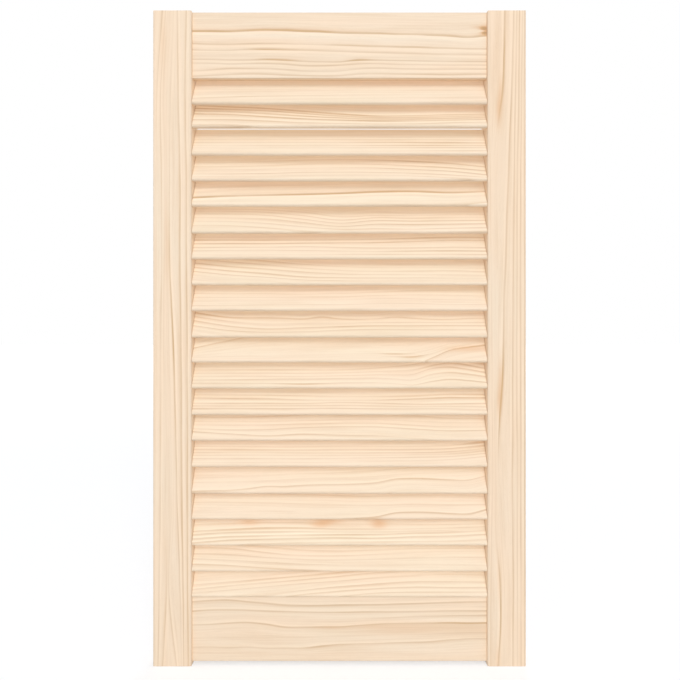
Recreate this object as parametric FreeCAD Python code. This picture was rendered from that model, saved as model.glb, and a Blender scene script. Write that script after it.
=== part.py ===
import FreeCAD
import Part
import math
import os

from FreeCAD import Vector

# A louvred cabinet door leaf in pine: two stiles, two rails and fixed sloping slats.
# Millimetres. X runs across the leaf from the hinge edge, Y from front to back, Z up.
# The origin is at the middle of the hinge edge, which is the outer edge of the left stile.

# Leaf
DOOR_WIDTH = 393.0
DOOR_HEIGHT = 691.0

# Stiles, the two uprights
STILE_WIDTH = 40.5
STILE_THICKNESS = 21.0
STILE_ARRIS = 0.6        # radius of the eased long edges
STILE_END_CHAMFER = 0.2  # sawn ends with the sharp edge taken off
FOOT_LENGTH = 3.5        # how far the stiles run down past the bottom rail

# Rails, the two cross pieces, thinner than the stiles and centred in their thickness
RAIL_THICKNESS = 15.0
TOP_RAIL_HEIGHT = 69.7
BOTTOM_RAIL_HEIGHT = 68.3
RAIL_ARRIS = 0.5
RAIL_LIP = 5.0           # flat left along the top rail's lower edge, in front of its undercut

# Stub tenons that carry the rails in the stiles
RAIL_TENON_LENGTH = 15.0
RAIL_TENON_THICKNESS = 7.0
RAIL_TENON_SHOULDER = 10.0  # wood left above and below a tenon
UNDERCUT_SHOULDER = 5.0     # wood left between the top rail's tenon and its undercut

# Slats, rounded along both long edges
SLAT_WIDTH = 38.0
SLAT_THICKNESS = 5.0
SLAT_ANGLE = 64.0        # degrees from the horizontal, low edge at the front
SLAT_SETBACK = 0.1       # front of the low edge, behind the stiles' front faces
TARGET_PITCH = 27.4      # the slat count comes from this, and the true pitch from the count
SILL_GAP = 0.3           # between the lowest slat and the bottom rail
HEAD_GAP = 1.2           # extra room between the highest slat and the top rail
# Slats let in by hand a little above or below their even place, counted from the top
SLAT_LIFTS = {
    1: -0.3, 2: 2.4, 3: 0.7, 4: 0.9, 5: 1.5, 6: 0.4, 7: 0.6, 8: 0.6, 9: 0.7, 11: 1.1,
    12: 1.0, 13: 0.4, 14: 0.6, 15: 0.3, 16: -0.5, 17: -0.2, 18: -0.3, 19: -0.3,
}

# Tongues on the slat ends, narrower than the slat so that their slots stay inside the stiles
SLAT_TONGUE_WIDTH = 24.0
SLAT_TONGUE_LENGTH = 7.5

# Clearances of the joints
SLOT_CLEARANCE = 0.15     # all round a tongue or tenon
SLOT_END_CLEARANCE = 0.5  # past the end of a tongue or tenon
SHOULDER_GAP = 0.1        # between a slat's end and the stile it goes into

NEARLY_NOTHING = 1e-6    # distances below this count as none

# Levels and planes that the pieces share
FOOT = -DOOR_HEIGHT / 2
HEAD = DOOR_HEIGHT / 2
FRONT = -STILE_THICKNESS / 2
LEFT_INNER = STILE_WIDTH
RIGHT_INNER = DOOR_WIDTH - STILE_WIDTH
RAIL_FRONT = -RAIL_THICKNESS / 2
RAIL_BACK = RAIL_THICKNESS / 2
BOTTOM_RAIL_BASE = FOOT + FOOT_LENGTH
BOTTOM_RAIL_TOP = BOTTOM_RAIL_BASE + BOTTOM_RAIL_HEIGHT
TOP_RAIL_BASE = HEAD - TOP_RAIL_HEIGHT

# Layout of the slats between the rails
SLOPE = math.radians(SLAT_ANGLE)
NOSE_RADIUS = SLAT_THICKNESS / 2
NOSE_REACH = SLAT_WIDTH / 2 - NOSE_RADIUS  # from a slat's middle to the centre of its rounded edge
LOUVRE_HEIGHT = TOP_RAIL_BASE - BOTTOM_RAIL_TOP - SILL_GAP - HEAD_GAP
SLAT_COUNT = round(LOUVRE_HEIGHT / TARGET_PITCH)
SLAT_PITCH = LOUVRE_HEIGHT / SLAT_COUNT
SLAT_DEPTH = FRONT + SLAT_SETBACK + NOSE_RADIUS + NOSE_REACH * math.cos(SLOPE)
LOWEST_SLAT = BOTTOM_RAIL_TOP + SILL_GAP + NOSE_RADIUS + NOSE_REACH * math.sin(SLOPE)

# Tenon heights: the top rail's tenon stays clear above the undercut behind it
UNDERCUT_FRONT = RAIL_FRONT + RAIL_LIP
UNDERCUT_AT_TENON = TOP_RAIL_BASE + (RAIL_TENON_THICKNESS / 2 - UNDERCUT_FRONT) * math.tan(SLOPE)
TOP_TENON = (UNDERCUT_AT_TENON + UNDERCUT_SHOULDER, HEAD - RAIL_TENON_SHOULDER)
BOTTOM_TENON = (BOTTOM_RAIL_BASE + RAIL_TENON_SHOULDER, BOTTOM_RAIL_TOP - RAIL_TENON_SHOULDER)


def bar(width, thickness, slope, depth, level, x_start, x_end):
    """A square-edged bar along X, its width tilted from the horizontal, centred at depth and level."""
    shape = Part.makeBox(x_end - x_start, width, thickness, Vector(x_start, -width / 2, -thickness / 2))
    shape.rotate(Vector(0, 0, 0), Vector(1, 0, 0), math.degrees(slope))
    shape.translate(Vector(0, depth, level))
    return shape


def rounded_bar(width, thickness, slope, depth, level, x_start, x_end):
    """A bar placed as above, whose two long edges are half-round."""
    radius = thickness / 2
    reach = width / 2 - radius
    centre = Vector(x_start, depth, level)
    along = Vector(0, math.cos(slope), math.sin(slope))
    across = Vector(0, -math.sin(slope), math.cos(slope))
    low_front = centre - along * reach + across * radius
    low_end = centre - along * (reach + radius)
    low_back = centre - along * reach - across * radius
    high_back = centre + along * reach - across * radius
    high_end = centre + along * (reach + radius)
    high_front = centre + along * reach + across * radius
    outline = [
        Part.Arc(low_front, low_end, low_back).toShape(),
        Part.LineSegment(low_back, high_back).toShape(),
        Part.Arc(high_back, high_end, high_front).toShape(),
        Part.LineSegment(high_front, low_front).toShape(),
    ]
    section = Part.Face(Part.Wire(outline))
    return section.extrude(Vector(x_end - x_start, 0, 0))


def tenon_bar(span, thickness, x_start, x_end):
    """A square-edged bar along X between the two levels of span, in the middle of the leaf's thickness."""
    low, high = span
    return Part.makeBox(x_end - x_start, thickness, high - low, Vector(x_start, -thickness / 2, low))


def edges_along(shape, direction, keep):
    """The straight edges of a shape that run along a direction and whose middle passes keep."""
    found = []
    for edge in shape.Edges:
        run = edge.Vertexes[-1].Point - edge.Vertexes[0].Point
        if run.Length > 0 and run.cross(direction).Length < NEARLY_NOTHING and keep(edge.CenterOfMass):
            found.append(edge)
    return found


def slat_level(number):
    """Height of a slat's middle, numbered from the top."""
    return LOWEST_SLAT + (SLAT_COUNT - number) * SLAT_PITCH + SLAT_LIFTS.get(number, 0)


def slat(number):
    """A slat with a tongue at each end, the full width showing between the stiles."""
    level = slat_level(number)
    body_start = LEFT_INNER + SHOULDER_GAP
    body_end = RIGHT_INNER - SHOULDER_GAP
    body = rounded_bar(SLAT_WIDTH, SLAT_THICKNESS, SLOPE, SLAT_DEPTH, level, body_start, body_end)
    tongue_start = LEFT_INNER - SLAT_TONGUE_LENGTH
    tongue_end = RIGHT_INNER + SLAT_TONGUE_LENGTH
    tongue = bar(SLAT_TONGUE_WIDTH, SLAT_THICKNESS, SLOPE, SLAT_DEPTH, level, tongue_start, tongue_end)
    return body.fuse(tongue).removeSplitter()


def rail(profile, tenon):
    """A rail between the stiles: its profile carried across, its front and back edges eased, and a tenon."""
    points = [Vector(LEFT_INNER, y, z) for y, z in profile]
    section = Part.Face(Part.makePolygon(points + points[:1]))
    board = section.extrude(Vector(RIGHT_INNER - LEFT_INNER, 0, 0))
    levels = [z for y, z in profile]
    ends = (min(levels), max(levels))
    square_corners = [(y, z) for y, z in profile if z in ends and abs(y) == RAIL_BACK]

    def is_square_corner(middle):
        return any(math.hypot(middle.y - y, middle.z - z) < NEARLY_NOTHING for y, z in square_corners)

    arrises = edges_along(board, Vector(1, 0, 0), is_square_corner)
    board = board.makeFillet(RAIL_ARRIS, arrises)
    tenon_start = LEFT_INNER - RAIL_TENON_LENGTH
    tenon_end = RIGHT_INNER + RAIL_TENON_LENGTH
    tenons = tenon_bar(tenon, RAIL_TENON_THICKNESS, tenon_start, tenon_end)
    return board.fuse(tenons).removeSplitter()


def top_rail():
    """The top rail, undercut behind its lip at the slats' angle so that the highest slat clears it."""
    undercut_back = TOP_RAIL_BASE + (RAIL_BACK - UNDERCUT_FRONT) * math.tan(SLOPE)
    profile = [
        (RAIL_FRONT, TOP_RAIL_BASE),
        (UNDERCUT_FRONT, TOP_RAIL_BASE),
        (RAIL_BACK, undercut_back),
        (RAIL_BACK, HEAD),
        (RAIL_FRONT, HEAD),
    ]
    return rail(profile, TOP_TENON)


def bottom_rail():
    """The bottom rail, square all round."""
    profile = [
        (RAIL_FRONT, BOTTOM_RAIL_BASE),
        (RAIL_BACK, BOTTOM_RAIL_BASE),
        (RAIL_BACK, BOTTOM_RAIL_TOP),
        (RAIL_FRONT, BOTTOM_RAIL_TOP),
    ]
    return rail(profile, BOTTOM_TENON)


def slots(inner_face, inward):
    """The sloping slots for the slats and the mortises for the rails, let into a stile's inner face."""
    slot_bottom = inner_face + inward * (SLAT_TONGUE_LENGTH + SLOT_END_CLEARANCE)
    slot_width = SLAT_TONGUE_WIDTH + 2 * SLOT_CLEARANCE
    slot_thickness = SLAT_THICKNESS + 2 * SLOT_CLEARANCE
    x_start, x_end = sorted((inner_face, slot_bottom))
    cuts = []
    for number in range(1, SLAT_COUNT + 1):
        cuts.append(bar(slot_width, slot_thickness, SLOPE, SLAT_DEPTH, slat_level(number), x_start, x_end))
    mortise_bottom = inner_face + inward * (RAIL_TENON_LENGTH + SLOT_END_CLEARANCE)
    mortise_thickness = RAIL_TENON_THICKNESS + 2 * SLOT_CLEARANCE
    x_start, x_end = sorted((inner_face, mortise_bottom))
    for low, high in (TOP_TENON, BOTTOM_TENON):
        span = (low - SLOT_CLEARANCE, high + SLOT_CLEARANCE)
        cuts.append(tenon_bar(span, mortise_thickness, x_start, x_end))
    return cuts


def stile(outer_face, inner_face):
    """An upright with eased long edges and chamfered ends, slotted on its inner face."""
    left_face = min(outer_face, inner_face)
    inward = math.copysign(1, outer_face - inner_face)
    board = Part.makeBox(STILE_WIDTH, STILE_THICKNESS, DOOR_HEIGHT, Vector(left_face, FRONT, FOOT))
    board = board.makeFillet(STILE_ARRIS, edges_along(board, Vector(0, 0, 1), lambda middle: True))
    ends = [edge for edge in board.Edges if abs(abs(edge.CenterOfMass.z) - HEAD) < NEARLY_NOTHING]
    board = board.makeChamfer(STILE_END_CHAMFER, ends)
    return board.cut(slots(inner_face, inward))


pieces = {
    "left_stile": stile(0, LEFT_INNER),
    "right_stile": stile(DOOR_WIDTH, RIGHT_INNER),
    "top_rail": top_rail(),
    "bottom_rail": bottom_rail(),
}
for number in range(1, SLAT_COUNT + 1):
    pieces[f"slat_{number:02d}"] = slat(number)

os.makedirs("parts", exist_ok=True)
for name, shape in pieces.items():
    shape.exportStep(f"parts/{name}.step")
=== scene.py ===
import math

import bpy
import numpy as np
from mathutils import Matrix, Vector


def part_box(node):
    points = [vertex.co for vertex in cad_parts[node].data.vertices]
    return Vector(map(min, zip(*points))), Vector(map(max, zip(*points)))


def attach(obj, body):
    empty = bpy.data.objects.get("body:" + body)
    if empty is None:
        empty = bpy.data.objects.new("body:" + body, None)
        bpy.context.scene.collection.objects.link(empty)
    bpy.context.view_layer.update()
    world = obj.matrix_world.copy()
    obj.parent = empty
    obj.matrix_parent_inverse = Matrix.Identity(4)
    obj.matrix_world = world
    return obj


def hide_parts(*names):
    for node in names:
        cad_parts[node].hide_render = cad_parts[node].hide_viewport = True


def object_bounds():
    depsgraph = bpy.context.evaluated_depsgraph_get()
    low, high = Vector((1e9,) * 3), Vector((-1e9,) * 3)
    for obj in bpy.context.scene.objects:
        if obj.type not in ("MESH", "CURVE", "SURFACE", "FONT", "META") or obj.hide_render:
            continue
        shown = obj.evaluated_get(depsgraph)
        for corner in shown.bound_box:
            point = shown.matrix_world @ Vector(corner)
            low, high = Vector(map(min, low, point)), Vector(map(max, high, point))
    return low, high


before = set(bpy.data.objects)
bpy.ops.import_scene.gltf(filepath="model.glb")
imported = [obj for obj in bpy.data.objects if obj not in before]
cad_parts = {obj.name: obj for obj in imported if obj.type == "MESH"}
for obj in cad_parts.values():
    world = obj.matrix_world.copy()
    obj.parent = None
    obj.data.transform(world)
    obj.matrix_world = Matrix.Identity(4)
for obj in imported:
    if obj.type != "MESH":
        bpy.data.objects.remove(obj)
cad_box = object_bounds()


# Left stile
# The upright on the hinge side: one planed length of pine, sanded, its four long edges eased by hand.
# The rails are tenoned into its inner edge, and the tongues of the slats sit in sloping slots there.

def millimetres(box):
    """The lowest and the highest corner of a box that is given in metres."""
    return [np.array(corner) * 1000 for corner in box]


def rounded_outline(corners, radius, spacing, arc_points=7, touching=1e-6):
    """Section of a board as rows (across, through), with a flag that is 1 on the eased edges.
    Each corner becomes an arc of that radius, tangent to its sides, and each side is divided evenly."""
    corners = np.array(corners, float)
    back = np.roll(corners, 1, axis=0) - corners
    back /= np.linalg.norm(back, axis=1, keepdims=True)
    on = np.roll(corners, -1, axis=0) - corners
    on /= np.linalg.norm(on, axis=1, keepdims=True)
    half = np.arccos(np.sum(back * on, axis=1)) / 2
    middle = (back + on) / np.linalg.norm(back + on, axis=1, keepdims=True)
    centre = corners + middle * (radius / np.sin(half))[:, None]
    enter = corners + back * (radius / np.tan(half))[:, None]
    leave = corners + on * (radius / np.tan(half))[:, None]
    turn = (math.pi - 2 * half)[:, None]
    step = np.linspace(0, 1, arc_points)[None, :]
    first = (np.sin((1 - step) * turn) / np.sin(turn))[..., None]
    last = (np.sin(step * turn) / np.sin(turn))[..., None]
    arcs = centre[:, None] + first * (enter - centre)[:, None] + last * (leave - centre)[:, None]
    rows, eased = [], []
    for corner, arc in enumerate(arcs):
        rows.append(arc)
        eased.append(np.ones(len(arc)))
        side = enter[(corner + 1) % len(corners)] - leave[corner]
        parts = round(np.linalg.norm(side) / spacing)
        share = np.arange(1, parts)[:, None] / max(parts, 1)
        rows.append(leave[corner] + share * side)
        eased.append(np.zeros(len(share)))
    rows, eased = np.concatenate(rows), np.concatenate(eased)
    apart = np.linalg.norm(rows - np.roll(rows, 1, axis=0), axis=1) > touching
    return rows[apart], eased[apart]


def drawn(values, share):
    """Smooth curve through values spaced evenly along a board: the cubic whose slope at each value
    is half the step between its two neighbours."""
    row = np.array([2 * values[0] - values[1], *values, 2 * values[-1] - values[-2]])
    place = np.clip(share, 0, 1) * (len(values) - 1)
    span = np.minimum(place.astype(int), len(values) - 2)
    t = place - span
    a, b, c, d = row[span], row[span + 1], row[span + 2], row[span + 3]
    return b + t * (c - a + t * (2 * a - 5 * b + 4 * c - d + t * (3 * b - a - 3 * c + d))) / 2


def growth(lines, share, across, narrowest=0.6, slowest=0.05):
    """Ring number, ring width and boldness of the latewood at each point of a board, and the mean width.
    Each drawn line is one whole ring number. Between two lines the number climbs as a cubic without
    a turn, and past the outermost ones it climbs evenly at the mean ring width."""
    levels = np.array([drawn(heights, share) for bold, heights in lines])
    bolds = np.array([drawn(bold, share) for bold, heights in lines])
    mean = np.mean(np.diff(levels, axis=0))
    levels = np.concatenate([levels[:1] - mean, levels, levels[-1:] + mean])
    bolds = np.concatenate([0 * bolds[:1], bolds, 0 * bolds[-1:]])
    widths = np.maximum(np.diff(levels, axis=0), narrowest)
    joined = np.concatenate([widths[:1], (widths[:-1] + widths[1:]) / 2, widths[-1:]])
    ring = np.clip(np.sum(across >= levels, axis=0) - 1, 0, len(widths) - 1)[None]
    width = np.take_along_axis(widths, ring, 0)
    beyond = (across - np.take_along_axis(levels, ring, 0)) / width
    t = np.clip(beyond, 0, 1)
    enter = width / np.take_along_axis(joined, ring, 0)
    leave = width / np.take_along_axis(joined, ring + 1, 0)
    climb = t * t * (3 - 2 * t) + enter * t * (1 - t) ** 2 - leave * t * t * (1 - t)
    rate = 6 * t * (1 - t) + enter * (1 - t) * (1 - 3 * t) + leave * t * (3 * t - 2)
    number = ring + climb + (beyond - t) * width / mean
    bold = np.take_along_axis(bolds, ring, 0) * (1 - t) + np.take_along_axis(bolds, ring + 1, 0) * t
    return number[0], (width / np.maximum(rate, slowest))[0], bold[0], mean


def board(name, origin, axes, outline, eased, length, bevel, figure, row_spacing=2, cup=0.012):
    """A board as one closed surface, its section carried along its length, in millimetres:
    point = origin + along x first axis + across x second axis + through x third axis.
    The two ends shrink by the bevel and then to a point.
    A figure has growth lines, each (boldness along the board, height across it along the board), and
    stains, each (share of the length, height, reach along, reach across, strength). Slant and cup lean
    and bend them through the thickness, and raised moves them across. Depth is their contrast, bark the
    side where the tree's bark was, tone the warmth of the wood, and seed its place in the noise."""
    body = np.linspace(bevel, length - bevel, round(length / row_spacing) + 1)
    end_rings = np.array([0.35, 0.7, 1.0])
    cap = len(end_rings)
    along = np.concatenate([np.zeros(cap), body, np.full(cap, length)])
    full = np.concatenate([end_rings, np.ones(len(body)), end_rings[::-1]])[:, None]
    on_end = np.concatenate([np.ones(cap), np.zeros(len(body)), np.ones(cap)])[:, None]
    low, high = outline.min(axis=0), outline.max(axis=0)
    middle = (low + high) / 2
    shrink = 1 - on_end[..., None] * 2 * bevel / (high - low)
    section = middle + full[..., None] * shrink * (outline - middle)
    around = len(outline)
    rows = len(along)
    along = np.concatenate([np.repeat(along, around), [0, length]])
    section = np.concatenate([section.reshape(-1, 2), [middle, middle]])
    end = np.concatenate([np.repeat(on_end[:, 0], around), [1, 1]])
    edge = np.concatenate([np.tile(eased, rows), [0, 0]])
    local = np.column_stack([along, section])
    points = (np.array(origin) + local @ np.array(axes, float)) / 1000

    start = np.arange(rows * around).reshape(rows, around)
    beside = np.roll(start, -1, axis=1)
    quads = np.stack([start[:-1], beside[:-1], beside[1:], start[1:]], axis=-1).reshape(-1, 4)
    foot = np.stack([np.full(around, rows * around), beside[0], start[0]], axis=-1)
    head = np.stack([start[-1], beside[-1], np.full(around, rows * around + 1)], axis=-1)
    if np.linalg.det(axes) < 0:
        quads, foot, head = quads[:, ::-1], foot[:, ::-1], head[:, ::-1]
    mesh = bpy.data.meshes.new(name)
    mesh.from_pydata(points, [], quads.tolist() + foot.tolist() + head.tolist())
    mesh.shade_smooth()
    mesh.set_sharp_from_angle(angle=math.radians(40))

    share = along / length
    through = section[:, 1]
    height = section[:, 0] + figure["slant"] * through - cup * through ** 2 - figure["raised"]
    number, width, bold, mean = growth(figure["lines"], share, height)
    stain = np.zeros(len(points))
    for place, level, reach, rise, strength in figure["stains"]:
        away = ((share - place) * length / reach) ** 2 + ((height - level) / rise) ** 2
        stain += strength * np.exp(-away)
    layers = {
        "ring": number * figure["bark"],
        "width": width,
        "bold": np.clip(bold * figure["depth"], 0, 1),
        "stain": stain,
        "tone": np.full(len(points), figure["tone"]),
        "edge": edge,
        "end": end,
    }
    for layer, values in layers.items():
        mesh.attributes.new(layer, "FLOAT", "POINT").data.foreach_set("value", values)
    far_apart = np.array([413.0, 97.0, 59.0])
    wood = np.column_stack([along, number * mean, through]) + figure["seed"] * far_apart
    mesh.attributes.new("wood", "FLOAT_VECTOR", "POINT").data.foreach_set("vector", wood.ravel())
    piece = bpy.data.objects.new(name, mesh)
    bpy.context.collection.objects.link(piece)
    return piece


class Wire:
    """One shader socket. Arithmetic on it adds Math nodes, and node() adds any other node."""

    def __init__(self, tree, socket=None):
        self.tree = tree
        self.socket = socket

    def node(self, kind, settings, inputs, output=0):
        """Adds a node, takes its settings first, then gives each input a wire or a constant."""
        made = self.tree.nodes.new(kind)
        for key, value in settings.items():
            setattr(made, key, value)
        for key, value in inputs.items():
            if isinstance(value, Wire):
                self.tree.links.new(value.socket, made.inputs[key])
            else:
                made.inputs[key].default_value = value
        return Wire(self.tree, made.outputs[output] if made.outputs else None)

    def maths(self, operation, *terms):
        """One Math node on the terms."""
        return self.node("ShaderNodeMath", {"operation": operation}, dict(enumerate(terms)))

    def __add__(self, other):
        return self.maths("ADD", self, other)

    def __sub__(self, other):
        return self.maths("SUBTRACT", self, other)

    def __rsub__(self, other):
        return self.maths("SUBTRACT", other, self)

    def __mul__(self, other):
        return self.maths("MULTIPLY", self, other)

    def __truediv__(self, other):
        return self.maths("DIVIDE", self, other)

    __radd__ = __add__
    __rmul__ = __mul__

    def between(self, low, high):
        """Eases from 0 at low to 1 at high."""
        inputs = {"Value": self, "From Min": low, "From Max": high}
        return self.node("ShaderNodeMapRange", {"interpolation_type": "SMOOTHSTEP"}, inputs)

    def tint(self, first, second):
        """The first colour where this is 0 and the second where it is 1."""
        return self.node("ShaderNodeMix", {"data_type": "RGBA"}, {0: self, 6: first, 7: second}, 2)


def pine(name, early, late, resin, cream, edge_shading):
    """Sanded pine. Latewood darkens slowly towards each whole ring number and stops sharply after it.
    Broad tone, fading along each line, fibres and short resin marks follow the same growth lines.
    A stain above 0 turns the wood to resin, a strong one to a dark knot, and one below 0 to cream."""
    material = bpy.data.materials.new(name)
    material.use_nodes = True
    tree = material.node_tree
    tree.nodes.clear()
    start = Wire(tree)

    def layer(attribute, output="Fac"):
        return start.node("ShaderNodeAttribute", {"attribute_name": attribute}, {}, output)

    wood = layer("wood", "Vector")

    def mottle(lengths, detail=2.0):
        """Noise about 0.5 whose patches have these lengths along, across and through the wood."""
        scale = [1 / length for length in lengths]
        place = start.node("ShaderNodeVectorMath", {"operation": "MULTIPLY"}, {0: wood, 1: scale})
        return start.node("ShaderNodeTexNoise", {}, {"Vector": place, "Scale": 1.0, "Detail": detail})

    # Growth lines, from the distances in millimetres to the next line and from the last one
    width = layer("width")
    ring = layer("ring") + (mottle((60, 5, 8)) - 0.5) * 0.9 / width
    past = ring.maths("FRACT", ring)
    to_line = (1 - past) * width
    from_line = past * width
    bold = layer("bold")
    core = 1 - to_line.between(bold * 1.2, bold * 3.0 + 0.7)
    shade = 1 - to_line.between(0.0, bold * 6.0 + 2.0)
    after = 1 - from_line.between(0.05, 0.6)
    latewood = (core * 0.75 + shade * 0.25) + after
    latewood = latewood.maths("MINIMUM", latewood, 1.0)
    fade = mottle((70, 6, 12)).between(0.25, 0.7)
    pale = from_line.between(0.3, 0.9) * (1 - from_line.between(1.4, 5.0))
    line = latewood * bold * (fade * 0.6 + 0.7) - pale * bold * 0.2

    # Marks between the lines, from broad patches of tone down to fibres and short ticks
    broad = mottle((160, 22, 30))
    band = mottle((110, 3.2, 7), 2.0)
    streak = mottle((70, 1.0, 3), 3.0)
    fibre = mottle((9, 0.22, 0.5), 2.0)
    tick = mottle((3.5, 0.3, 0.8), 0.0).between(0.70, 0.80)
    faint = streak.between(0.40, 0.72) * 0.15 + band.between(0.42, 0.70) * 0.15
    marks = line + faint + tick * 0.10
    marks = marks.maths("MAXIMUM", marks.maths("MINIMUM", marks, 1.0), 0.0)

    # Colour, from pale earlywood through cream, lines and resin, with painted shading on the eased edges
    # and darker ends
    warm = (broad - 0.5) * 2.2 + layer("tone") + 0.5
    warm = warm.maths("MINIMUM", warm.maths("MAXIMUM", warm, 0.0), 1.0)
    stain = layer("stain")
    colour = (0 - stain).tint(warm.tint(*early), cream)
    colour = marks.tint(colour, late)
    colour = stain.tint(colour, resin)
    bright = 1 + (fibre - 0.5) * 0.10 + pale * bold * 0.08 - stain.between(0.6, 1.6) * 0.25
    # Painted shading on the eased edges: a share above 0 darkens them, a share below 0 lightens them
    bright = bright - layer("edge") * edge_shading - layer("end") * (0.22 + line * 0.2)
    colour = start.node("ShaderNodeVectorMath", {"operation": "SCALE"}, {0: colour, "Scale": bright})

    # Surface, a little smoother and higher on the hard lines
    rough = 0.56 - line * 0.10 + (fibre - 0.5) * 0.16
    height = line * 0.35 + fibre * 0.5 + streak * 0.3
    relief = start.node("ShaderNodeBump", {}, {"Strength": 0.5, "Distance": 0.00006, "Height": height})
    surface = start.node("ShaderNodeBsdfPrincipled", {}, {
        "Base Color": colour, "Roughness": rough, "Normal": relief, "Specular IOR Level": 0.28})
    start.node("ShaderNodeOutputMaterial", {}, {"Surface": surface})
    return material


FRAME_PINE = pine(
    "sanded pine of the frame",
    early=((0.925, 0.775, 0.605, 1), (0.955, 0.76, 0.575, 1)),
    late=(0.665, 0.45, 0.255, 1),
    resin=(0.74, 0.45, 0.23, 1),
    cream=(0.97, 0.84, 0.68, 1),
    # Painted shade on the frame's eased edges, which round away from the light
    edge_shading=0.06,
)
SPACING = 1.6     # millimetres between points round a section
STILE_EASE = 1.0  # radius of the eased edges
SAWN_BEVEL = 0.2  # round the sawn ends
UPRIGHT = [(0, 0, 1), (1, 0, 0), (0, 1, 0)]

lowest, highest = millimetres(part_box("left_stile"))
wide, thick, tall = highest - lowest
STILE_SECTION = rounded_outline([(0, 0), (wide, 0), (wide, thick), (0, thick)], STILE_EASE, SPACING)
left_figure = {
    "seed": 1, "depth": 1, "tone": 0.1, "bark": 1, "slant": 0.55, "raised": 0.7,
    "lines": [
        ([0, 0, 0, 0, 0, 0, 0, 0.15, 0.5], [0.5, 1, 2, 2, 2.5, 3, 3, 3.5, 9.5]),
        ([0.3, 0.25, 0.3, 0.3, 0.3, 0.3, 0.3, 0.25, 0.2], [5, 6, 7, 7.5, 8, 9, 8.5, 7.5, 13]),
        ([0.4, 0.4, 0.25, 0, 0, 0, 0, 0, 0, 0, 0, 0, 0.1, 0.1, 0.1, 0.05, 0],
         [9.8, 14.2, 13, 12, 11, 11, 12, 11, 16]),
        ([0.35, 0.3, 0.2, 0, 0, 0, 0, 0, 0, 0, 0, 0, 0, 0, 0, 0, 0],
         [24.3, 15.6, 19, 18, 16, 14, 14, 13.5, 18]),
        ([0.1, 0.4, 0.4, 0.6, 0.75, 0.55, 0.2, 0.15, 0], [29.8, 28, 25, 23.2, 21, 16.9, 16.8, 18, 21]),
        ([0.35, 0.4, 0.45, 0.4, 0.4, 0.45, 0.45, 0.45, 0.35],
         [32, 31.2, 30.2, 29.8, 29.1, 28.1, 28, 26.1, 25.5]),
        ([0.3, 0.45, 0.4, 0.35, 0.4, 0.4, 0.35, 0.35, 0.3],
         [37, 36.3, 36, 36, 35.7, 35, 34.6, 33.6, 34.8]),
    ],
    "stains": [
        (0.622, 14.5, 24, 3, 0.2), (0.665, 13.8, 24, 2.2, 0.2), (0.955, 10, 30, 3.4, 0.2),
        (0.05, 12.6, 45, 1.8, 0.14), (0.88, 22, 140, 20, 0.04),
    ],
}
left_stile = board("left_stile_board", lowest, UPRIGHT, *STILE_SECTION, tall, SAWN_BEVEL, left_figure)
left_stile.data.materials.append(FRAME_PINE)
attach(left_stile, "root")
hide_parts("left_stile")


# Right stile
# The upright on the closing side, cut and eased like its fellow from another length of the same pine.
# A brown growth line wanders in and out of its face. Its inner edge has the same mortises and slots.

lowest, highest = millimetres(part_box("right_stile"))
right_figure = {
    "seed": 2, "depth": 1, "tone": 0.25, "bark": -1, "slant": -0.5, "raised": -0.4,
    "lines": [
        ([0.2, 0.2, 0.2, 0.2, 0.15, 0.1, 0.1, 0.1, 0.1], [3, 3.5, 4.8, 5.3, 4.5, 4, 3, 2.5, 2.5]),
        ([0.5, 0.7, 0.75, 0.1, 0, 0, 0, 0, 0, 0, 0, 0, 0, 0, 0.7, 0.6, 0.5],
         [11, 13.8, 13.2, 10.3, 9, 8.5, 8.5, 8, 8, 8, 8, 8, 8, 10, 15.4, 17.2, 17.8]),
        ([0, 0, 0, 0, 0, 0, 0.7, 0.75, 0.65, 0.5, 0.5, 0.5, 0.5, 0.45, 0.45, 0.4, 0.4],
         [17, 17.5, 18, 16, 13.5, 11.5, 12.4, 15.5, 16.6, 17.2, 19, 20, 22, 23.4, 25.4, 26.7, 27.3]),
        ([0.35, 0.35, 0.3, 0.35, 0.3, 0.3, 0.35, 0.35, 0.3],
         [26.5, 27, 26, 26.3, 26.6, 27.2, 28, 29.3, 31]),
        ([0.2, 0.2, 0.2, 0.25, 0.25, 0.3, 0.35, 0.35, 0.35],
         [31.5, 31.5, 31.3, 31, 30.5, 31, 31.5, 33, 33.8]),
        ([0.3, 0.3, 0.3, 0.3, 0.35, 0.35, 0.35, 0.35, 0.3],
         [35.5, 35.3, 35, 35, 34.5, 34.5, 35, 35.8, 36.8]),
        ([0.4, 0.4, 0.4, 0.4, 0.35, 0.3, 0.35, 0.35, 0.3],
         [39, 39, 39, 39, 39, 39, 38.7, 38.8, 39.3]),
    ],
    "stains": [
        (0.848, 12.3, 17, 2.8, 0.55), (0.878, 14.2, 17, 2.2, 0.4), (0.01, 11.5, 14, 2.4, 0.3),
        (0.13, 12.6, 24, 1.6, 0.25), (0.405, 12.8, 16, 2.8, 0.55), (0.437, 14.3, 20, 2.5, 0.5),
        (0.9, 8, 50, 8, 0.08), (0.8, 12, 150, 14, 0.08), (0.75, 30, 170, 12, 0.06),
    ],
}
right_stile = board("right_stile_board", lowest, UPRIGHT, *STILE_SECTION, tall, SAWN_BEVEL, right_figure)
right_stile.data.materials.append(FRAME_PINE)
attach(right_stile, "root")
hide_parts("right_stile")


# Top rail
# The upper cross board, thinner than the stiles and tenoned between them, flush at their tops.
# Behind a narrow front lip its underside is cut away at the slope of the slats, and the first slat
# tucks in under it. The end of a knot shows at its right.

RAIL_EASE = 0.4
LIP = 5.0
SLOPE = math.radians(64)
LEVEL = [(1, 0, 0), (0, 0, 1), (0, 1, 0)]
left_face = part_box("left_stile")[1].x * 1000
right_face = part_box("right_stile")[0].x * 1000
between_stiles = right_face - left_face

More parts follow.
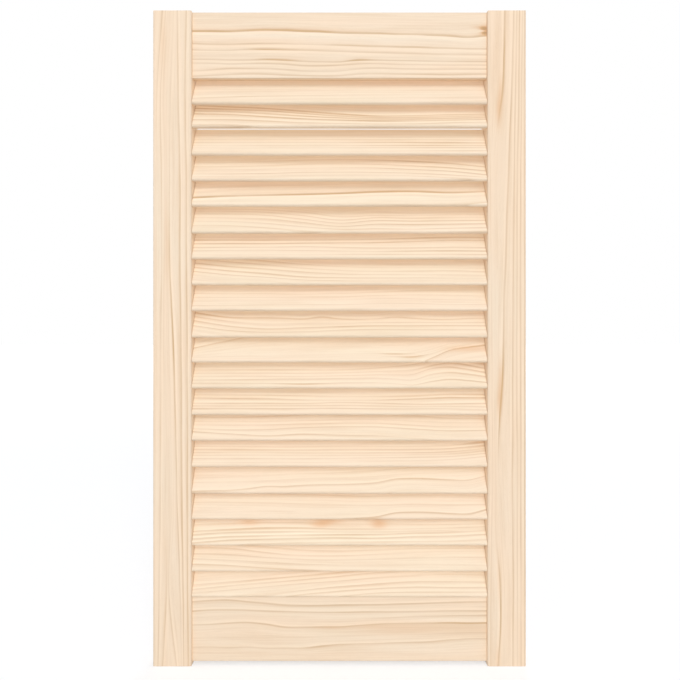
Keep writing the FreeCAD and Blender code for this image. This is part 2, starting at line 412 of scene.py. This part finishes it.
lowest, highest = millimetres(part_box("top_rail"))
lowest[0] = left_face
thick, tall = (highest - lowest)[1:]
undercut = (thick - LIP) * math.tan(SLOPE)
top_corners = [(0, 0), (tall, 0), (tall, thick), (undercut, thick), (0, LIP)]
top_section = rounded_outline(top_corners, RAIL_EASE, SPACING)
top_figure = {
    "seed": 3, "depth": 1, "tone": 0.0, "bark": -1, "slant": -0.5, "raised": -0.3,
    "lines": [
        ([0.3, 0.4, 0.5, 0.4, 0.35, 0.4, 0.45, 0.45, 0.45],
         [2, 2.8, 3.7, 4.3, 4, 3.2, 2.5, 2.2, 2.5, 4.3, 4.6, 4.3, 4, 3.8, 3.6, 3.9, 4.2]),
        ([0.2, 0.4, 0.4, 0.35, 0.35, 0.4, 0.4, 0.4, 0.45],
         [7.6, 8.8, 10, 10.1, 10.1, 9, 7.6, 7.3, 7.6, 9.7, 10.5, 10.1, 9.7, 9.5, 9.5, 9.5, 9.5]),
        ([0.1, 0.3, 0.35, 0.4, 0.45, 0.4, 0.35, 0.3, 0.3],
         [15.5, 15.6, 15, 15.4, 15.5, 14.8, 13.3, 13.2, 13.8,
          15, 15.4, 14.8, 14.3, 14, 13.8, 13.7, 13.6]),
        ([0.3, 0.35, 0.4, 0.5, 0.75, 0.9, 0.6, 0.5, 0.5, 0.85, 0.5, 0.45, 0.5, 0.45, 0.4, 0.45, 0.4],
         [19.7, 19.6, 19.2, 19.2, 19.4, 18.8, 17.6, 17.2, 17.1,
          18.8, 19, 18.6, 18.2, 17.8, 17.5, 17.3, 17.2]),
        ([0.45, 0.35, 0.35, 0.4, 0.75, 0.6, 0.4, 0.35, 0.35,
          0.45, 0.4, 0.35, 0.35, 0.4, 0.4, 0.45, 0.45],
         [30, 29.5, 29.4, 30.2, 30.4, 30.1, 29.8, 29.2, 28.6,
          27.8, 27.2, 26.7, 26.3, 25.7, 25.2, 24.9, 24.7]),
        ([0.4, 0.4, 0.4, 0.5, 0.45, 0.45, 0.35, 0.3, 0.4, 0.4, 0.35, 0.4, 0.5, 0.4, 0.3, 0.35, 0.35],
         [36.6, 36, 35.9, 36.4, 36.6, 36.4, 35.9, 35.4, 34.9,
          34.2, 33.7, 33.2, 32.7, 32, 31.6, 31, 30.8]),
        ([0.8, 0.9, 0.8, 0.85, 0.9, 0.85, 0.9, 0.95, 0.85, 0.85, 0.8, 0.65, 0.6, 0.85, 0.8, 0.6, 0.7],
         [49.4, 49.3, 49.2, 50.2, 50.8, 50.3, 49.3, 48.8, 47.9,
          47.6, 47.2, 46.6, 46.4, 45.4, 44.6, 43.4, 45]),
        ([0.0, 0.0], [62, 62.5, 63, 62, 61, 60.5, 60, 60, 62]),
    ],
    "stains": [
        (0.992, 52.8, 5, 2.7, 1.6), (0.968, 54.4, 6, 1.3, 0.4), (0.994, 48.4, 4, 1.8, 1.5),
        (0.985, 46.5, 8, 1.2, 0.4), (0.985, 50.5, 3.5, 0.7, -0.9), (0.1, 51.2, 50, 1.8, 0.2),
        (0.3, 51.8, 60, 1.8, 0.25), (0.5, 50, 40, 1.8, 0.2), (0.7, 48, 40, 1.6, 0.12),
        (0.9, 45, 40, 1.6, 0.15), (0.24, 31, 18, 1.2, 0.2), (0.31, 19.6, 20, 1.2, 0.3),
        (0.15, 45.5, 80, 2.5, -0.4), (0.42, 45, 60, 2.5, -0.45), (0.65, 42.5, 70, 2.5, -0.35),
        # The second stain on the next line, low along the whole rail, is painted shade: it darkens and
        # reddens the lip's underside and the recess behind it, where the first slat tucks in
        (0.85, 41, 50, 2.5, -0.3), (0.5, -2.4, 900, 1.5, 0.5),
    ],
}
top_rail = board("top_rail_board", lowest, LEVEL, *top_section, between_stiles, SAWN_BEVEL, top_figure)
top_rail.data.materials.append(FRAME_PINE)
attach(top_rail, "root")
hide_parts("top_rail")


# Bottom rail
# The lower cross board, as thick as the upper one and tenoned alike, a little above the stiles' feet.
# Its edges are hardly eased, and the last slat's lower edge comes down almost on to it.

lowest, highest = millimetres(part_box("bottom_rail"))
lowest[0] = left_face
thick, tall = (highest - lowest)[1:]
bottom_section = rounded_outline([(0, 0), (tall, 0), (tall, thick), (0, thick)], RAIL_EASE, SPACING)
bottom_figure = {
    "seed": 4, "depth": 1, "tone": 0.0, "bark": 1, "slant": -0.5, "raised": 0.7,
    "lines": [
        ([0, 0, 0, 0.05, 0.1], [4, 5, 5, 5, 6, 6.5, 7, 8, 10]),
        ([0.1, 0.1, 0.35, 0.3, 0.25, 0.3, 0.35, 0.6, 0.5, 0.35, 0.35, 0.35, 0.45, 0.5, 0.55, 0.5, 0.45],
         [14, 14, 13.8, 14.4, 13.3, 13.3, 13.4, 15.6, 17.2,
          17.7, 18.1, 18.9, 19.5, 20.2, 22, 23.2, 23.4]),
        ([0, 0, 0, 0.1, 0.15], [25, 27, 26, 25, 26, 27, 28, 29, 30]),
        ([0.35, 0.45, 0.5, 0.5, 0.55, 0.55, 0.55, 0.7, 0.65, 0.5, 0.5, 0.5, 0.5, 0.55, 0.6, 0.6, 0.6],
         [38, 38.8, 40.2, 40.7, 38.9, 35.9, 35.5, 35.8, 36,
          37.2, 38.6, 39.2, 39.6, 40, 40.3, 40, 40.2]),
        ([0, 0, 0, 0.25, 0.45], [45, 46.5, 45.5, 44, 44, 45, 46.6, 47.8, 48.5]),
        ([0.5, 0.4, 0.4, 0.4, 0.4],
         [52.5, 53.9, 54.1, 53.6, 52.8, 52.2, 51.6, 51.4, 51.4,
          51.6, 51.8, 51.8, 52, 52.5, 52.9, 53, 53]),
        ([0.45, 0.45, 0.5, 0.45, 0.45],
         [62.6, 63.9, 64.3, 62.5, 61, 59.2, 58.6, 58.5, 58.9,
          59.1, 59.4, 60, 60.6, 61.3, 61.8, 62.3, 62.7]),
    ],
    "stains": [
        (0.6, 36, 26, 3.5, 0.14), (0.72, 35, 34, 5, 0.2), (0.86, 34, 34, 5.5, 0.22),
        (0.98, 33, 30, 6, 0.24), (0.9, 26, 50, 4, 0.1), (0.47, 35, 14, 2.2, 0.22),
        (0.75, 11, 70, 5, -0.35), (0.9, 45, 50, 2.5, -0.3),
    ],
}
bottom_rail = board("bottom_rail_board", lowest, LEVEL, *bottom_section, between_stiles, SAWN_BEVEL,
                    bottom_figure)
bottom_rail.data.materials.append(FRAME_PINE)
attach(bottom_rail, "root")
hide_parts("bottom_rail")


# Louvre slats
# Twenty thin pine slats, moulded with round long edges, sloping down to the front between the stiles.
# Each was cut from a different board, so each has its own figure, strong in some and faint in others.

SLAT_PINE = pine(
    "sanded pine of the slats",
    early=((0.91, 0.77, 0.59, 1), (0.935, 0.765, 0.595, 1)),
    late=(0.65, 0.435, 0.25, 1),
    resin=(0.79, 0.485, 0.27, 1),
    cream=(0.96, 0.85, 0.67, 1),
    # Below 0, so the slats' round long edges are painted a little lighter
    edge_shading=-0.03,
)
SLAT_THICK = 5.0
SLAT_NOSE = SLAT_THICK / 2 - 0.01  # radius of the long edges, a hair under half-round
SLAT_BEVEL = 0.5                   # round the cut ends
SLAT_GAP = 0.1                     # between a cut end and its stile
UP_SLAT = np.array([0, math.cos(SLOPE), math.sin(SLOPE)])
THROUGH_SLAT = np.array([0, math.sin(SLOPE), -math.cos(SLOPE)])
SLOPED = [(1, 0, 0), UP_SLAT, THROUGH_SLAT]
NO_MARK = []

# From the top slat down: depth, tone, bark, raised, growth lines and stains of its figure
slats = [
    (0.8, 0.2, 1, 0.6, [
        ([0.1, 0.15], [1, 2.5, 4, 5, 5.5, 6, 6.5, 7, 7.5]),
        ([0.4, 0.4, 0.3, 0.1, 0.1], [6.3, 8, 9.4, 10.3, 11, 11.5, 12, 12, 12]),
        ([0.15, 0.1], [16, 16.5, 17, 18, 18.5, 19, 19, 19, 19]),
    ], NO_MARK),
    (1.3, 0.0, 1, -0.9, [
        ([0.15, 0.2, 0.2, 0.2, 0.2], [3.4, 2.8, 0.8, -1, -2, -2.5, -2.5, -2, -1.5]),
        ([0.4, 0.4, 0.3, 0.25, 0.25], [11, 10.8, 8.8, 6, 4.7, 3.9, 4.3, 5.8, 6.8]),
        ([0.5, 0.5, 0.6, 0.55, 0.45], [20, 18.8, 15.4, 12.3, 10.2, 8.7, 9, 10.1, 11.3]),
        ([0.3, 0.3, 0.5, 0.45, 0.4], [24.5, 23, 20.1, 16.3, 13.4, 11.1, 11.3, 12.6, 13.8]),
        ([0.5, 0.5, 0.55, 0.5, 0.45], [29, 27, 24.6, 20.5, 16.5, 13.7, 14, 15.4, 16.6]),
        ([0.4, 0.4, 0.5, 0.4, 0.35], [33, 31, 28.6, 24, 19.7, 16.5, 16.8, 18.3, 19.4]),
    ], NO_MARK),
    (1.35, 0.0, 1, 0, [
        ([0.1, 0.1, 0.15, 0.2, 0.3], [3, 3, 3.2, 4, 4.5]),
        ([0.1, 0.1, 0.15, 0.3, 0.25], [8.6, 8.6, 8.6, 8.8, 9]),
        ([0.1, 0.1, 0.15, 0.45, 0.4], [12, 12, 12.2, 12.4, 12.3]),
        ([0.25, 0.25, 0.25, 0.45, 0.3], [17, 17, 16.8, 16.8, 16.2]),
        ([0.15, 0.15, 0.2, 0.35, 0.2], [21, 21, 20.8, 20.8, 20.4]),
    ], NO_MARK),
    (1.1, 0.1, 1, 0, [
        ([0.15, 0.15, 0.2, 0.25, 0.2], [4, 4, 4.5, 5.6, 6, 6, 5, 2.5, -0.5]),
        ([0.25, 0.3, 0.25, 0.3, 0.3], [8, 8, 8.7, 10, 10.5, 10.3, 8.8, 6.5, 3]),
        ([0.15, 0.15, 0.15, 0.45, 0.4], [13.5, 14, 15, 16, 16.5, 16.5, 14.5, 12, 7]),
        ([0.2, 0.25, 0.2, 0.5, 0.4], [18.5, 19, 20, 22, 22.8, 22, 19.7, 17, 12.5]),
        ([0.2, 0.2, 0.2, 0.45, 0.4], [24, 24.5, 26, 28, 29, 28.5, 26.5, 23.5, 18.5]),
    ], NO_MARK),
    (1.2, 0.2, -1, -1.9, [
        ([0.1, 0.1, 0.15, 0.2, 0.25], [-2, -1, 0, 0.5, 1.5, 2.3, 2.8, 2.2, 5]),
        ([0.8, 0.7, 0.8, 0.8, 0.5], [11, 13.2, 14.8, 15.7, 17, 19, 19.7, 18.1, 19.7]),
        ([0.1, 0.1], [25, 27, 28.5, 29.5, 31, 33, 33.5, 32, 33]),
    ], [
        (0.25, 19, 90, 4, 0.12), (0.7, 22, 80, 4, 0.10), (0.3, 7.5, 90, 4.5, -0.6),
        (0.75, 11, 80, 5, -0.6),
    ]),
    (1.2, 0.0, 1, 0.8, [
        ([0.15, 0.2, 0.3, 0.2, 0.2], [8, 7.5, 5, 1, -1, -0.5, -0.5, 0, 0.5]),
        ([0.15, 0.2, 0.3, 0.3, 0.3], [14, 13.5, 11, 6.5, 2.8, 3.5, 3, 4.5, 5]),
        ([0.15, 0.2, 0.4, 0.4, 0.35], [19, 18.5, 17, 12, 7, 9.9, 9.5, 10, 11]),
        ([0.15, 0.25, 0.35, 0.4, 0.3], [24, 23.5, 22, 16.5, 11.2, 15, 13.9, 14.8, 15.3]),
        ([0.15, 0.2, 0.3, 0.3, 0.25], [28, 27.5, 26, 21.5, 15.5, 18.5, 17.9, 18.8, 19.3]),
        ([0.15, 0.2, 0.25, 0.25, 0.2], [31, 30.5, 29.5, 26, 20, 22, 21.5, 22.5, 23]),
    ], NO_MARK),
    (1.2, 0.1, 1, 0.6, [
        ([0.1, 0.1, 0.15, 0.35, 0.35], [3, 3, 3.5, 3.5, 4, 4, 4.2, 4.3, 3.8]),
        ([0.15, 0.15, 0.15, 0.35, 0.45], [8.6, 9, 9.4, 9, 8.4, 8, 8.5, 8.8, 8.5]),
        ([0.3, 0.3, 0.25, 0.25, 0.25], [13.4, 13.4, 13.5, 14.2, 13, 12.2, 12.6, 13.2, 13]),
        ([0.45, 0.45, 0.4, 0.35, 0.45], [18.3, 18.4, 18.2, 18.8, 19.2, 19.6, 21, 22.6, 22.3]),
        ([0.4, 0.4, 0.3, 0.4, 0.4], [23, 23, 22.8, 23, 23.5, 24, 25.5, 27, 26.5]),
    ], NO_MARK),
    (1.1, 0.0, 1, 1.9, [
        ([0.3, 0.3, 0.25, 0.15, 0.15], [14, 9.5, 6.5, 3.3, 2.3, 1.8, 1.8, 1.3, 1.3]),
        ([0.4, 0.45, 0.35, 0.2, 0.2], [19.5, 14.8, 11.3, 7.1, 6.1, 5.8, 5.8, 5.3, 4.8]),
        ([0.35, 0.4, 0.3, 0.25, 0.2], [25, 20.5, 17.1, 13.3, 10.7, 10.1, 9.8, 9.8, 8.8]),
        ([0.3, 0.3, 0.2, 0.2, 0.2], [30, 26, 22.5, 18.3, 15.3, 14.3, 14.3, 14.8, 13.8]),
        ([0.3, 0.3, 0.2, 0.15, 0.15], [35, 31, 27.5, 23.3, 20.3, 19.3, 19.3, 18.8, 18.3]),
    ], NO_MARK),
    (1, 0.2, 1, 0, [
        ([0.15, 0.2, 0.25, 0.2, 0.2], [5.5, 5.5, 6, 6.3, 6.4, 7.6, 7.8, 6.5, 7]),
        ([0.1, 0.1, 0.15, 0.15, 0.1], [11, 11, 11.5, 12, 12.5, 13.5, 13.5, 13, 12]),
        ([0.2, 0.2, 0.2, 0.2, 0.15], [15.5, 15.5, 15.5, 16, 16.2, 17.8, 18.4, 18, 17]),
        ([0.35, 0.3, 0.25, 0.25, 0.25], [20.5, 20, 20, 19.7, 20.5, 22, 23.5, 24.5, 25]),
    ], NO_MARK),
    (1.2, 0.0, 1, 1.2, [
        ([0.35, 0.3, 0.3, 0.3, 0.25], [12, 6, 4, 4.7, 6.5, 7.5, 7.3, 7, 7.2]),
        ([0.4, 0.4, 0.45, 0.35, 0.3], [18, 11.5, 8.3, 9.6, 10.8, 11.8, 12, 12, 12]),
        ([0.3, 0.15, 0.1, 0.2, 0.15], [23, 17, 14, 14.5, 15, 16, 16, 15.5, 16]),
        ([0.4, 0.4, 0.45, 0.45, 0.3],
         [28, 24.5, 22.0, 21.5, 21.5, 21, 20.2, 22.4, 20.2,
          19.6, 20.2, 22.2, 21, 19.8, 19.6, 20.6, 21]),
    ], [
        (0.5, 10, 160, 10, 0.06),
    ]),
    (1, 0.1, 1, 0.3, [
        ([0, 0, 0, 0.4, 0.8], [-8, -8, -8, -8, -8, -8, -8, -8, -7, -6, -6, -6, -4, 4, 13, 16.8, 19.5]),
        ([0, 0, 0, 0, 0, 0, 0, 0, 0, 0, 0, 0.3, 0.6, 0.1, 0, 0, 0],
         [1, 1, 1, 1, 1, 2, 3, 4, 5, 5.6, 5.8, 5.8, 5.6, 9, 16, 20, 23]),
        ([0, 0, 0, 0, 0, 0, 0, 0, 0, 0, 0.1, 0.6, 0.1, 0, 0, 0, 0],
         [5, 6, 7, 8, 8, 8, 8, 8, 8.5, 8.7, 8.8, 8.8, 9, 13, 19, 23, 26]),
        ([0.5, 0.3, 0, 0, 0], [15.5, 25, 33, 34, 34, 34, 34, 35, 36]),
    ], [
        (0.94, 14.6, 24, 3.6, 0.5), (0.67, 8.3, 5, 1.4, 0.2), (0.745, 5.2, 8, 1.2, 0.2),
        (0.57, 11, 45, 4, -0.35), (0.22, 9, 40, 5, -0.3),
    ]),
    (1.15, 0.0, 1, 0.6, [
        ([0.2, 0.25, 0.3, 0.6, 0.35, 0.15, 0.2, 0.45, 0.4],
         [4.5, 4.5, 4.5, 4.5, 4.5, 4.1, 3.8, 4.3, 4.8, 5, 5, 4, 2.5, 6.5, 9, 7.6, 5.5]),
        ([0.2, 0.35, 0.2, 0.2, 0.45],
         [8.6, 8.6, 8.6, 8.8, 9, 9.2, 9.3, 9.6, 10, 10.3, 10.5, 9.5, 8.5, 14.5, 17, 15, 12]),
        ([0.2, 0.3, 0.2, 0.2, 0.45],
         [12.5, 12.5, 12.5, 12.5, 12.5, 12.4, 12.3, 12.6, 13, 13.5, 14, 14, 14.5, 21, 23, 20.5, 17]),
        ([0.2, 0.3, 0.2, 0.25, 0.55], [16, 16, 16.2, 16, 16.5, 18, 20, 28, 21.8]),
        ([0.2, 0.3, 0.2, 0.25, 0.55], [20, 19.8, 19.8, 20, 20, 22, 26, 33, 27]),
    ], NO_MARK),
    (1.5, 0.0, 1, 1.2, [
        ([0.4, 0.4, 0.4, 0.2, 0.2], [5.2, 5.3, 5.2, 5.3, 5.7, 5, 4.8, 4.7, 3.5]),
        ([0.2, 0.25, 0.2, 0.15, 0.2], [8.3, 8.3, 8.5, 8.5, 8.8, 8, 7.2, 7.4, 7.2]),
        ([0.3, 0.4, 0.25, 0.3, 0.35], [11.2, 11.2, 11.2, 11, 12, 11.2, 10.2, 10.4, 11]),
        ([0.3, 0.35, 0.15, 0.35, 0.4], [17, 16.6, 16.3, 15, 14.7, 14.6, 16, 17.7, 17.3]),
        ([0.2, 0.25, 0.15, 0.3, 0.4], [20.5, 20.3, 20, 19.5, 18.7, 18.7, 19.5, 21, 21.2]),
    ], NO_MARK),
    (1, 0.0, 1, 1.3, [
        ([0.4, 0.4, 0.35, 0.2, 0.1], [8, 5.6, 3.5, 5.3, 4, 3.3, 1, -1, -1.5]),
        ([0.2, 0.25, 0.3, 0.4, 0.35], [11.5, 10, 10.2, 12.6, 13.3, 13.2, 11, 9, 9.5]),
        ([0.25, 0.25, 0.3, 0.3, 0.2], [15, 15, 15.2, 16.3, 17, 17.2, 15.2, 13.3, 13.5]),
        ([0.15, 0.15], [19, 19, 19, 20, 21, 21, 19.5, 18, 18]),
        ([0.2, 0.35, 0.15, 0.2, 0.35], [24, 23.5, 24.5, 26, 27, 27, 25.5, 22.5, 22]),
    ], NO_MARK),
    (1.2, 0.1, 1, 1, [
        ([0.15, 0.15], [3, 3, 3, 3, 3.5, 4.5, 5, 6.3, 9.5]),
        ([0.2, 0.25], [7.6, 7.6, 7.6, 7.8, 7.8, 8.2, 8.6, 9.6, 13]),
        ([0.2, 0.2, 0.2, 0.25, 0.45], [11, 11, 11, 10.8, 10.8, 10.8, 11.2, 12.3, 16]),
        ([0.3, 0.3, 0.3, 0.35, 0.5], [14, 14, 13.8, 13.5, 13.5, 13.4, 13.6, 14.6, 18]),
        ([0.35, 0.35, 0.3, 0.4, 0.55], [17.2, 17, 16.8, 16.6, 17, 17, 17, 18, 21.5]),
        ([0.3, 0.3, 0.25, 0.3, 0.5], [20.5, 20.2, 20.1, 20, 20.5, 20.3, 20.3, 21.3, 25.5]),
    ], NO_MARK),
    (0.85, 0.2, 1, 1.9, [
        ([0.45, 0.5, 0.5, 0.6, 0.4],
         [0.3, 0.8, 1.2, 3, 5.4, 5.3, 6.4, 7, 7.2, 7.8, 9, 12.6, 13.4, 13, 12.2, 11.8, 16]),
        ([0.15, 0.15, 0.2, 0.1, 0.1], [9, 10, 11, 13, 14, 15.5, 19, 19.5, 22]),
        ([0.15, 0.15], [16, 16.5, 17, 18.5, 19.5, 21.5, 24.5, 25, 27]),
    ], NO_MARK),
    (0.9, 0.2, 1, 1.8, [
        ([0, 0, 0.3, 0.6, 0.5],
         [-8, -8, -7.5, -6, -4, -4, -3, -2, -1.2, -0.4, 0.8, 4.6, 5.3, 5, 4, 3.6, 8]),
        ([0.15, 0.15], [15, 15, 14.5, 13.5, 12.8, 12, 13, 12.5, 13]),
        ([0.2, 0.2, 0.3, 0.2, 0.2], [24.5, 24.5, 24, 23, 22, 21, 22, 22, 21]),
    ], [
        (0.625, -2.8, 7, 2.4, 0.6), (0.48, -3.3, 20, 1.6, 0.3),
    ]),
    (1.3, 0.0, 1, 2.3, [
        ([0.2, 0.2, 0.3, 0.25, 0.2], [-4, -2, -0.5, 0.3, 0.8, 1, 1.5, 2, 3.5]),
        ([0.4, 0.4, 0.45, 0.35, 0.3], [0.3, 3, 3.9, 4.6, 5.2, 5.1, 6.2, 6.7, 8.6]),
        ([0.45, 0.45, 0.45, 0.4, 0.35], [4.2, 6.5, 7.1, 7.8, 8.2, 8.2, 9.6, 10.5, 12.3]),
        ([0.25, 0.25, 0.15, 0.1, 0.1], [8.2, 10.2, 10.9, 11.3, 10.8, 10.7, 11.6, 12.4, 14]),
        ([0.45, 0.5, 0.35, 0.2, 0.25], [11.5, 13.4, 14.7, 14.7, 13.6, 13.4, 13.8, 14.4, 15.6]),
        ([0.15, 0.15], [17.5, 19, 20, 20, 19, 18.5, 18, 18, 19]),
    ], [
        (0.19, 20.5, 11, 4, 0.55), (0.435, 18, 11, 4.5, 0.7), (0.47, 21.5, 14, 3, 0.5),
        (0.635, 18.5, 9, 6, 0.8), (0.4, 7, 130, 7, -0.9),
    ]),
    (0.9, 0.1, 1, 1.2, [
        ([0.55, 0.5, 0.3, 0.1, 0.1], [5.8, 4.6, 2, 0.5, -1, -1.5, -2, -2, -2.5]),
        ([0.25, 0.25, 0.2, 0.1, 0.1], [11, 9.5, 7.6, 5.6, 4.6, 4.8, 5.2, 5.2, 4.7]),
        ([0.35, 0.3, 0.2, 0.25, 0.25], [15.9, 14.8, 12, 10.3, 9.7, 10.3, 11.3, 12.3, 12.5]),
        ([0.3, 0.3, 0.3, 0.2, 0.2], [22, 20.8, 16.9, 14, 13.8, 15, 16.9, 17.7, 17.7]),
        ([0.2, 0.2, 0.2, 0.2, 0.2], [26, 25, 22, 19, 18.2, 19, 20.5, 21, 21]),
    ], NO_MARK),
    (0.95, 0.0, 1, 1.7, [
        ([0.1, 0.1, 0.2, 0.3, 0.25], [-12, -10, -7, -3.5, -0.8, 2, 3, 3, 3]),
        ([0.1, 0.1, 0.4, 0.4, 0.35], [-8, -6, -3, 0.8, 4, 6.4, 7.6, 7.3, 7.5]),
        ([0.1, 0.1, 0.4, 0.3, 0.2], [-4, -2, 0.5, 4.5, 8, 10.5, 12.8, 13, 12.5]),
        ([0.25, 0.3, 0.25, 0.2, 0.15], [2, 5, 8, 11, 13.5, 16.5, 18.5, 19.5, 19]),
        ([0.4, 0.45, 0.4, 0.25, 0.2], [5.5, 9.0, 12.1, 14.8, 17.8, 21, 23, 24, 24]),
        ([0.4, 0.45, 0.4, 0.25, 0.2], [9.8, 12.5, 15.3, 18.3, 21.5, 24.4, 26.4, 27.4, 27.4]),
    ], NO_MARK),
]
for count, (depth, tone, bark, raised, lines, stains) in enumerate(slats, start=1):
    node = f"slat_{count:02d}"
    lowest, highest = millimetres(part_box(node))
    reach = (highest[2] - lowest[2] - SLAT_THICK) / math.sin(SLOPE) + SLAT_THICK
    slat_corners = [(0, 0), (reach, 0), (reach, SLAT_THICK), (0, SLAT_THICK)]
    slat_section = rounded_outline(slat_corners, SLAT_NOSE, SPACING)
    low_front = (lowest + highest) / 2 - UP_SLAT * reach / 2 - THROUGH_SLAT * SLAT_THICK / 2
    low_front[0] = left_face + SLAT_GAP
    slat_length = between_stiles - 2 * SLAT_GAP
    figure = {
        "seed": 10 + count, "depth": depth, "tone": tone, "bark": bark, "slant": 0.6, "raised": raised,
        "lines": lines, "stains": stains,
    }
    slat = board(f"slat_board_{count:02d}", low_front, SLOPED, *slat_section, slat_length, SLAT_BEVEL,
                 figure)
    slat.data.materials.append(SLAT_PINE)
    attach(slat, "root")
    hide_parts(node)


# Studio
# The door stands on a pale floor in an even white room. A broad lamp, high in front and a little to the
# right, gives the soft shadow under each slat. Two fills without shadows lighten the front, and a weak
# lamp lights the back.

def looked_at(start):
    """1 for what the camera sees, straight, in a shine or through glass, and 0 for light that bounces."""
    camera, shine, glass = (start.node("ShaderNodeLightPath", {}, {}, f"Is {kind} Ray")
                            for kind in ("Camera", "Glossy", "Transmission"))
    return camera.maths("MAXIMUM", camera, shine.maths("MAXIMUM", shine, glass))


FLOOR_REACH = 30.0
ground = float(cad_box[0].z)
sides = [(-1, -1), (1, -1), (1, 1), (-1, 1)]
floor_corners = [(x * FLOOR_REACH, y * FLOOR_REACH, ground) for x, y in sides]
floor_mesh = bpy.data.meshes.new("pale floor")
floor_mesh.from_pydata(floor_corners, [], [(0, 1, 2, 3)])
floor = bpy.data.objects.new("pale floor", floor_mesh)
bpy.context.collection.objects.link(floor)

# The floor's paint glows more with distance: far off it is white, and near the door the shadow shows
NEAR, NEAR_GLOW = 0.8, 0.41
FAR, FAR_GLOW = 6.0, 0.66
paint = bpy.data.materials.new("pale floor paint")
paint.use_nodes = True
paint.node_tree.nodes.clear()
coat = Wire(paint.node_tree)
place = coat.node("ShaderNodeTexCoord", {}, {}, "Object")
away = coat.node("ShaderNodeVectorMath", {"operation": "LENGTH"}, {0: place}, "Value")
glow = looked_at(coat) * (away.between(NEAR, FAR) * (FAR_GLOW - NEAR_GLOW) + NEAR_GLOW)
matt = coat.node("ShaderNodeBsdfPrincipled", {}, {
    "Base Color": (0.652, 0.66, 0.68, 1), "Roughness": 0.9, "Specular IOR Level": 0.0,
    "Emission Color": glow, "Emission Strength": 1.0})
coat.node("ShaderNodeOutputMaterial", {}, {"Surface": matt})
floor_mesh.materials.append(paint)

# The room is white to look at, and dimmer as a light
room = bpy.data.worlds.new("white room")
bpy.context.scene.world = room
room.use_nodes = True
room.node_tree.nodes.clear()
air = Wire(room.node_tree)
seen = looked_at(air)
white = air.node("ShaderNodeBackground", {}, {"Color": (1, 1, 1, 1), "Strength": 1.0})
dim = air.node("ShaderNodeBackground", {}, {"Color": (1, 1, 1, 1), "Strength": 0.565})
mixed = air.node("ShaderNodeMixShader", {}, {0: seen, 1: dim, 2: white})
air.node("ShaderNodeOutputWorld", {}, {"Surface": mixed})

# Each lamp: degrees up, degrees round to the right, size, power, colour and whether it throws shadows
DOOR_MIDDLE = (np.array(cad_box[0]) + np.array(cad_box[1])) / 2
LAMP_DISTANCE = 30.0
WARM_WHITE = (1.0, 0.985, 0.965)
COOL_WHITE = (0.985, 0.995, 1.0)
for name, rise, side, size, power, tint, shades in (
        ("high lamp", 34, 10, 19.0, 2360.0, COOL_WHITE, True),
        ("left fill", 28, -32, 11.0, 1240.0, WARM_WHITE, False),
        ("right fill", 28, 32, 11.0, 1350.0, WARM_WHITE, False),
        ("back lamp", 48, 165, 11.0, 950.0, WARM_WHITE, True)):
    light = bpy.data.lights.new(name, "AREA")
    light.color = tint
    light.use_shadow = shades
    light.shape = "DISK"
    light.size = size
    light.energy = power
    lamp = bpy.data.objects.new(name, light)
    rise, side = math.radians(rise), math.radians(side)
    toward = (math.cos(rise) * math.sin(side), -math.cos(rise) * math.cos(side), math.sin(rise))
    lamp.location = DOOR_MIDDLE + LAMP_DISTANCE * np.array(toward)
    lamp.rotation_euler = (math.pi / 2 - rise, 0, side)
    bpy.context.collection.objects.link(lamp)


# Camera
# It stands close in front of the middle of the door and looks straight at it.

camera_data = bpy.data.cameras.new("camera")
camera_data.sensor_width = 36.0
camera_data.lens = 23.63
camera = bpy.data.objects.new("camera", camera_data)
camera.location = (0.197, -0.4805, -0.0017)
camera.rotation_euler = (math.pi / 2, 0, 0)
bpy.context.collection.objects.link(camera)
bpy.context.scene.camera = camera
bpy.context.scene.view_settings.view_transform = "Standard"
